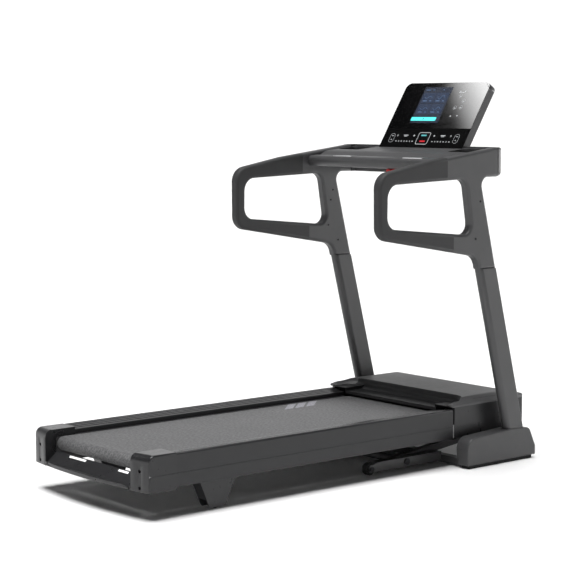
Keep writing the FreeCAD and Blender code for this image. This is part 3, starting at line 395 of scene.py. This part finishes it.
def materials():
    """One material for each material slot of the record, and one for the keypad's satin print."""
    return {
        "painted_steel": powder_coat("painted_steel", (0.06, 0.06, 0.062), 0.42),
        "shell_plastic": moulded_plastic("shell_plastic", (0.06, 0.06, 0.062), 0.46),
        "grip_foam": rubber("grip_foam", (0.034, 0.034, 0.035), 0.62),
        "rubber_black": rubber("rubber_black", (0.012, 0.012, 0.012)),
        "bright_steel": brushed_metal("bright_steel", (0.62, 0.62, 0.63)),
        "dark_screws": brushed_metal("dark_screws", (0.03, 0.03, 0.032), 0.35),
        "console_plastic": moulded_plastic("console_plastic", (0.05, 0.05, 0.052), 0.42),
        "gloss_black": polished_glass("gloss_black", (0.002, 0.002, 0.0022)),
        "keypad_satin": moulded_plastic("keypad_satin", (0.002, 0.002, 0.0022), 0.3, relief=0.00002,
                                        specular=0.05),
        "circuit_green": moulded_plastic("circuit_green", (0.02, 0.12, 0.05), 0.4),
        "red_plastic": moulded_plastic("red_plastic", (0.55, 0.015, 0.015), 0.35),
        "black_plastic": moulded_plastic("black_plastic", (0.012, 0.012, 0.013), 0.45),
        "rail_coating": moulded_plastic("rail_coating", (0.022, 0.022, 0.0235), 0.34, specular=0.38),
        "cap_plastic": moulded_plastic("cap_plastic", (0.022, 0.022, 0.0235), 0.3, specular=0.4),
        "deck_wood": moulded_plastic("deck_wood", (0.12, 0.09, 0.06), 0.5),
        "belt_pvc": belt_cover("belt_pvc", (0.108, 0.108, 0.110)),
        "drive_rubber": rubber("drive_rubber", (0.015, 0.015, 0.015)),
        "hood_plastic": moulded_plastic("hood_plastic", (0.1, 0.1, 0.102), 0.48),
        "motor_steel": powder_coat("motor_steel", (0.03, 0.03, 0.032)),
    }


# These meet flush, so their edges are hardly broken.
FLUSH_NODES = ("front_bridge", "handle_shell_right", "handle_shell_left", "grip_right", "grip_left")
EDGE_BREAK = 0.0012
FLUSH_EDGE_BREAK = 0.0003
WELD_REACH = 0.00002


def dress_cad_nodes(library):
    """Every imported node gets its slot's material, and a small bevel so that edges catch light."""
    slots = {entry["node"]: entry["material_slot"] for entry in frame["record"]["subparts"]}
    slots["console_keypad"] = "keypad_satin"
    for name, obj in nodes.items():
        obj.data.materials.clear()
        obj.data.materials.append(library[slots[name]])
        weld = obj.modifiers.new("weld", "WELD")
        weld.merge_threshold = WELD_REACH
        soften_edges(obj, FLUSH_EDGE_BREAK if name in FLUSH_NODES else EDGE_BREAK)


# ------------------------------------------------------------------ console graphics

CONSOLE_TILT = math.radians(32.3)
FACE_UP = Vector((0, math.sin(CONSOLE_TILT), math.cos(CONSOLE_TILT)))
FACE_OUT = Vector((0, -math.cos(CONSOLE_TILT), math.sin(CONSOLE_TILT)))
KEYPAD_LENGTH = 0.091
KEYPAD_INSET = 0.004      # from the box's rear to the face's lower edge, along the face
PRINT_LIFT = 0.00025      # thickness of a print layer
PRINT_GAP = 0.00002


def console_foot():
    """Lower edge of the console's front face, from the keypad's box."""
    low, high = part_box("console_keypad")
    return Vector((0, low[1] + KEYPAD_INSET * FACE_UP.y, high[2] - KEYPAD_LENGTH * FACE_UP.z))


def face_point(u, w, lift=0.0):
    """Point on the console face: across and up in millimetres, lifted off it in metres."""
    return console_foot() + Vector((u / 1000, 0, 0)) + FACE_UP * (w / 1000) + FACE_OUT * lift


def face_shape(bm, u, w, outline):
    slab(bm, [face_point(u + a, w + b, PRINT_GAP) for a, b in outline], FACE_OUT * PRINT_LIFT)


def face_box(bm, u, w, width, height, radius=0.4):
    face_shape(bm, u, w, rounded_outline(width, height, min(radius, width / 2.01, height / 2.01)))


def face_ring(bm, u, w, width, height, radius, line):
    outer = [face_point(u + a, w + b, PRINT_GAP) for a, b in rounded_outline(width, height, radius)]
    inner = [face_point(u + a, w + b, PRINT_GAP)
             for a, b in rounded_outline(width - 2 * line, height - 2 * line, max(0.3, radius - line))]
    band(bm, outer, inner, FACE_OUT * PRINT_LIFT)


def face_line(bm, points, line):
    """Thin open curve along (u, w) points."""
    for (u0, w0), (u1, w1) in zip(points, points[1:]):
        along = Vector((u1 - u0, w1 - w0)).normalized()
        off = Vector((-along.y, along.x)) * line / 2
        corners = [(u0 + off.x, w0 + off.y), (u1 + off.x, w1 + off.y),
                   (u1 - off.x, w1 - off.y), (u0 - off.x, w0 - off.y)]
        slab(bm, [face_point(a, b, PRINT_GAP) for a, b in corners], FACE_OUT * PRINT_LIFT)


def screen_ground(bm):
    face_box(bm, -40, 203, 160, 172, 3)


def screen_cards(bm):
    for u, w in ((-77, 238), (-3, 238), (-77, 184), (-3, 184)):
        face_box(bm, u, w, 70, 48, 3)


def screen_lines(bm):
    """Small graphs and value dashes on the cards."""
    for u, w, lift in ((-77, 240, 1.0), (-3, 240, 1.5), (-77, 186, 0.7), (-3, 186, 1.2)):
        wave = [(u + t * 2.4, w + lift * 6 * math.sin(t / 2.6)) for t in range(-9, 10)]
        face_line(bm, wave, 0.9)
        face_box(bm, u - 14, w - 17, 22, 3.0)
        face_box(bm, u + 18, w - 17, 9, 3.0)
    face_box(bm, -96, 276, 24, 2.6)
    face_box(bm, -64, 276, 10, 2.6)
    face_box(bm, -6, 276, 8, 2.6)


def start_bar(bm):
    face_box(bm, -51, 136, 143, 17, 2)


def start_triangle(bm):
    face_shape(bm, -51, 136, [(-3.5, -4), (-3.5, 4), (4.5, 0)])


def screen_marks(bm):
    """Small function marks to the right of the cards."""
    for u, w in ((92, 268), (120, 268), (104, 244), (132, 220),
                 (100, 188), (132, 190), (96, 150), (132, 152)):
        face_box(bm, u, w, 7, 5, 2)
    for u, w in ((104, 250), (132, 226), (100, 194), (132, 196)):
        face_ring(bm, u, w - 4, 17, 17, 8, 0.7)
    face_box(bm, 102, 262, 30, 2.6)


def keypad_marks(bm):
    """Pale symbols of the touch keys."""
    face_ring(bm, -2, 43.5, 68, 57, 9, 2.2)
    for u in (-156, 150):
        face_ring(bm, u, 56, 8, 8, 4, 1.3)
    for u in (-108, 105):
        face_box(bm, u, 57.5, 26, 3.4)
        face_box(bm, u, 52.5, 16, 2.2)
    for u in (-60, 56):
        face_box(bm, u, 56, 9, 3)
        face_box(bm, u, 56, 3, 9)
    for side in (-1, 1):
        for i in range(7):
            u = side * (57 + i * 16)
            face_box(bm, u, 29, 3.2 if i % 2 else 6.5, 6.5 if i % 2 else 4.2, 1)
        face_ring(bm, side * 185, 44, 27, 42, 11, 1.0)
        face_box(bm, side * 185, 54, 12, 2.6)
        face_box(bm, side * 185, 36, 5, 5, 2.4)


def go_mark(bm):
    face_box(bm, -4, 57.6, 30, 6.5, 2)


def stop_mark(bm):
    face_box(bm, 0, 30, 30, 6.5, 2)


def lifted(bm, maker, layers):
    """Print layer that lies on top of others."""
    maker(bm)
    bmesh.ops.translate(bm, verts=bm.verts, vec=FACE_OUT * PRINT_LIFT * layers)


def dress_console():
    white = lit_print("print_white", (0.62, 0.64, 0.66), 0.55)
    navy = lit_print("screen_navy", (0.006, 0.012, 0.03), 0.7)
    card = lit_print("screen_card", (0.010, 0.022, 0.055), 0.8)
    blue = lit_print("screen_blue", (0.10, 0.18, 0.34), 0.6)
    cyan = lit_print("screen_cyan", (0.10, 0.86, 0.82), 0.95)
    teal = lit_print("print_teal", (0.10, 0.42, 0.44), 0.8)
    red = lit_print("print_red", (0.62, 0.02, 0.03), 0.8)
    dark = lit_print("print_dark", (0.01, 0.12, 0.12), 0.3)
    for name, maker, material in (
            ("screen_ground", screen_ground, navy),
            ("screen_cards", lambda bm: lifted(bm, screen_cards, 1), card),
            ("screen_lines", lambda bm: lifted(bm, screen_lines, 2), blue),
            ("start_bar", lambda bm: lifted(bm, start_bar, 1), cyan),
            ("start_triangle", lambda bm: lifted(bm, start_triangle, 2), dark),
            ("screen_marks", screen_marks, white),
            ("keypad_marks", keypad_marks, white),
            ("go_mark", go_mark, teal),
            ("stop_mark", stop_mark, red)):
        new_piece(name, maker, material, "base")


# ------------------------------------------------------------------ deck details


MARK_X = (-0.250, -0.172)
MARK_LENGTH = 0.043
MARK_SLANT = 0.083


def belt_marks(bm):
    """Three slanted marks printed on the belt near its front."""
    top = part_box("running_belt")[1][2]
    for start in (0.127, 0.182, 0.239):
        corners = [(MARK_X[0], start + MARK_SLANT), (MARK_X[0], start + MARK_SLANT + MARK_LENGTH),
                   (MARK_X[1], start + MARK_LENGTH), (MARK_X[1], start)]
        slab(bm, [Vector((x, y, top - 0.0003)) for x, y in corners], Vector((0, 0, 0.0005)))


def dress_belt():
    s = Shader("belt_print", (0.27, 0.27, 0.30), 0.6)
    speckle = s.noise(230.0, 2.0, 0.6, vector=s.mapped((1.0, 0.6, 1.0)))
    fleck = s.spread(speckle, 0.0, 1.0, 0.4, 0.64)
    s.link(s.blend_color(fleck, (0.17, 0.17, 0.19), (0.34, 0.34, 0.37)), "Base Color")
    s.bump(speckle, 0.4, 0.0003)
    new_piece("belt_marks", belt_marks, s.material, "deck")


def mirrored_faces(bm, maker, side):
    """Run a maker that builds on the right side, and move its new faces to the asked side."""
    before = set(bm.verts)
    maker(bm)
    if side < 0:
        for vert in bm.verts:
            if vert not in before:
                vert.co.x = -vert.co.x


def on_both_sides(maker):
    def build(bm):
        for side in (1, -1):
            mirrored_faces(bm, maker, side)
    return build


def box_piece(bm, x, y, z):
    """Closed block between (low, high) pairs."""
    corners = [Vector((x[0], y[i], z[j])) for i, j in ((0, 0), (1, 0), (1, 1), (0, 1))]
    slab(bm, corners, Vector((x[1] - x[0], 0, 0)))


def lathe_x(bm, centre, profile, steps=28):
    """Turned piece about an axis along X; profile is (x, radius) pairs from one end to the other."""
    rings = []
    for x, radius in profile:
        ring = []
        for step in range(steps):
            angle = 2 * math.pi * step / steps
            y = centre[0] + radius * math.cos(angle)
            z = centre[1] + radius * math.sin(angle)
            ring.append(bm.verts.new((x, y, z)))
        rings.append(ring)
    for first, second in zip(rings, rings[1:]):
        for i in range(steps):
            following = (i + 1) % steps
            bm.faces.new((first[i], first[following], second[following], second[i]))
    bm.faces.new(rings[0])
    bm.faces.new(rings[-1])


def arc_ridge(bm, x, centre, radius, width, angles, steps=26):
    """Raised arc on a face that looks along X."""
    loops = []
    for step in range(steps + 1):
        angle = math.radians(angles[0] + (angles[1] - angles[0]) * step / steps)
        along = Vector((0, math.cos(angle), math.sin(angle)))
        middle = Vector((0, centre[0], centre[1]))
        section = []
        rise = x[1] - x[0]
        for dx, dr in ((0, -width / 2), (rise, -width / 3), (rise, width / 3), (0, width / 2)):
            section.append(bm.verts.new(middle + along * (radius + dr) + Vector((x[0] + dx, 0, 0))))
        loops.append(section)
    for first, second in zip(loops, loops[1:]):
        for i in range(4):
            following = (i + 1) % 4
            bm.faces.new((first[i], first[following], second[following], second[i]))
    bm.faces.new(loops[0])
    bm.faces.new(loops[-1])


CHEEK_X = (0.2702, 0.2662)          # the end cap's inner face, and how far the ridges stand out
RIDGE_WIDTH = 0.0035
# Spans across of the two glowing strips under the rear roller, painted light for bright gaps under the
# belt.
PAINTED_GLOW_STRIP_X = ((-0.165, -0.060), (0.145, 0.205))


def cheek_arcs(bm):
    """Stepped ridges on the inner face of an end cap, round the roller's end."""
    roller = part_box("rear_roller")
    centre = ((roller[0][1] + roller[1][1]) / 2, (roller[0][2] + roller[1][2]) / 2)
    for radius in (0.031, 0.037, 0.043):
        arc_ridge(bm, CHEEK_X, centre, radius, RIDGE_WIDTH, (75, 285))


def gap_strip(bm):
    """Pale trim in the gap between a rail and the motor bay."""
    box_piece(bm, (0.3520, 0.3588), (0.5412, 0.5462), (0.1110, 0.1640))


def gap_bracket(bm):
    """Flat bracket under that gap, with the end of its screw."""
    box_piece(bm, (0.3300, 0.3592), (0.5140, 0.5700), (0.1025, 0.1052))
    lathe_x(bm, (0.562, 0.1045), [(0.3585, 0.0035), (0.3596, 0.0032)], 16)


def panel_screws(bm):
    """Round-headed screws of the motor bay's side with their drive recess."""
    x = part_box("side_panel_right")[1][0]
    for y, z in ((0.572, 0.170), (0.900, 0.200)):
        lathe_x(bm, (y, z), [(x - 0.0020, 0.0044), (x - 0.0004, 0.0044), (x - 0.0001, 0.0036),
                             (x - 0.0001, 0.0018), (x - 0.0012, 0.0015)], 20)


def cap_clip(bm):
    """Small pale catch on an end cap's outer rear edge, at the groove."""
    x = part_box("end_cap_right")[1][0]
    box_piece(bm, (x - 0.0045, x - 0.0004), (-0.9095, -0.9020), (0.1520, 0.1585))


def painted_glow_strips(bm):
    """Two thin strips on the guard plate under the rear roller; they glow white, painted light standing in
    for the bright gaps seen under the belt.
    """
    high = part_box("rear_bar")[1]
    upper = (high[1] - 0.0065, high[2] - 0.0025)
    lower = (high[1] - 0.0120, high[2] - 0.0085)
    for left, right in PAINTED_GLOW_STRIP_X:
        corners = [Vector((left, *upper)), Vector((right, *upper)),
                   Vector((right, *lower)), Vector((left, *lower))]
        slab(bm, corners, Vector((0, -0.0006, 0.0006)))


def paint_scoop_shade():
    """Painted shade: the faces in the hood's scoop get a darker, coarser copy of the hood plastic, standing
    in for the shade inside the recess.
    """
    hood = nodes["hood"]
    # Darker copy of the hood plastic: painted shade for the scoop.
    hood.data.materials.append(moulded_plastic("hood_scoop_painted_shade", (0.018, 0.018, 0.019), 0.5, specular=0.3))
    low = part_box("hood")[0]
    wall_y = low[1] + 0.117
    rim_z = low[2] + 0.050
    floor_z = low[2] + 0.0275
    wall_half = 0.300
    floor_half = 0.345
    for face in hood.data.polygons:
        spot = hood.matrix_world @ face.center
        across = abs(spot.x)
        on_wall = spot.z < rim_z and across < wall_half
        on_floor = spot.z < floor_z and across < floor_half
        if spot.y < wall_y and (on_wall or on_floor):
            face.material_index = 1


def corner_filler(bm):
    """Closes the groove between a handle's shell and the bridge, which are one smooth surface."""
    low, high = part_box("front_bridge")
    x = high[0] - 0.0003
    top = high[2] - 0.0008
    bottom = low[2] + 0.0008
    outline = [(x - 0.030, bottom)]
    for centre_z, radius, start in ((bottom + 0.012, 0.012, -90), (top - 0.011, 0.011, 0)):
        for step in range(7):
            angle = math.radians(start + 15 * step)
            outline.append((x - radius + radius * math.cos(angle), centre_z + radius * math.sin(angle)))
    outline.append((x - 0.030, top))
    rear = low[1] - 0.0135
    slab(bm, [Vector((px, rear, pz)) for px, pz in outline], Vector((0, low[1] - rear + 0.0005, 0)))


def dress_details(library):
    """Small pieces of the deck, and what joins the handles to the bridge. The guard strips glow as painted
    light, and the hood's scoop gets painted shade.
    """
    pale = moulded_plastic("trim_pale", (0.30, 0.30, 0.305), 0.38, relief=0.00003)
    # Glowing white for the guard strips: painted light for bright gaps under the belt.
    white = lit_print("strip_painted_glow", (0.95, 0.95, 0.95), 0.8)
    new_piece("cheek_arcs", on_both_sides(cheek_arcs), library["cap_plastic"], "deck")
    strips = new_piece("gap_strips", on_both_sides(gap_strip), pale, "deck")
    brackets = new_piece("gap_brackets", on_both_sides(gap_bracket), library["painted_steel"], "deck")
    new_piece("panel_screws", on_both_sides(panel_screws), library["dark_screws"], "deck")
    clips = new_piece("cap_clips", on_both_sides(cap_clip), pale, "deck")
    for piece, width in ((strips, 0.0006), (brackets, 0.0004), (clips, 0.0006)):
        soften_edges(piece, width)
    new_piece("painted_glow_strips", painted_glow_strips, white, "deck")
    new_piece("corner_fillers", on_both_sides(corner_filler), library["shell_plastic"], "base")
    paint_scoop_shade()


library = materials()
dress_cad_nodes(library)
dress_console()
dress_belt()
dress_details(library)
add_floor()
add_world()
add_camera()
sun_light("overhead", towards=(0.02, 0.10, -1.0), strength=4.3, width_degrees=32)
area_light("front", place=(4.5, -3.9, 0.8), target=(0, 0, 0.6), size=(0.7, 1.3), power=14)
area_light("left_strip", place=(-0.8, -5.5, 0.6), target=(0, 0, 0.6), size=(0.4, 1.0), power=12)
area_light("far_panel", place=(0.9, 5.2, 1.2), target=(0.3, 0.6, 1.1), size=(1.6, 1.4), power=60)
bpy.context.scene.view_settings.view_transform = "Standard"
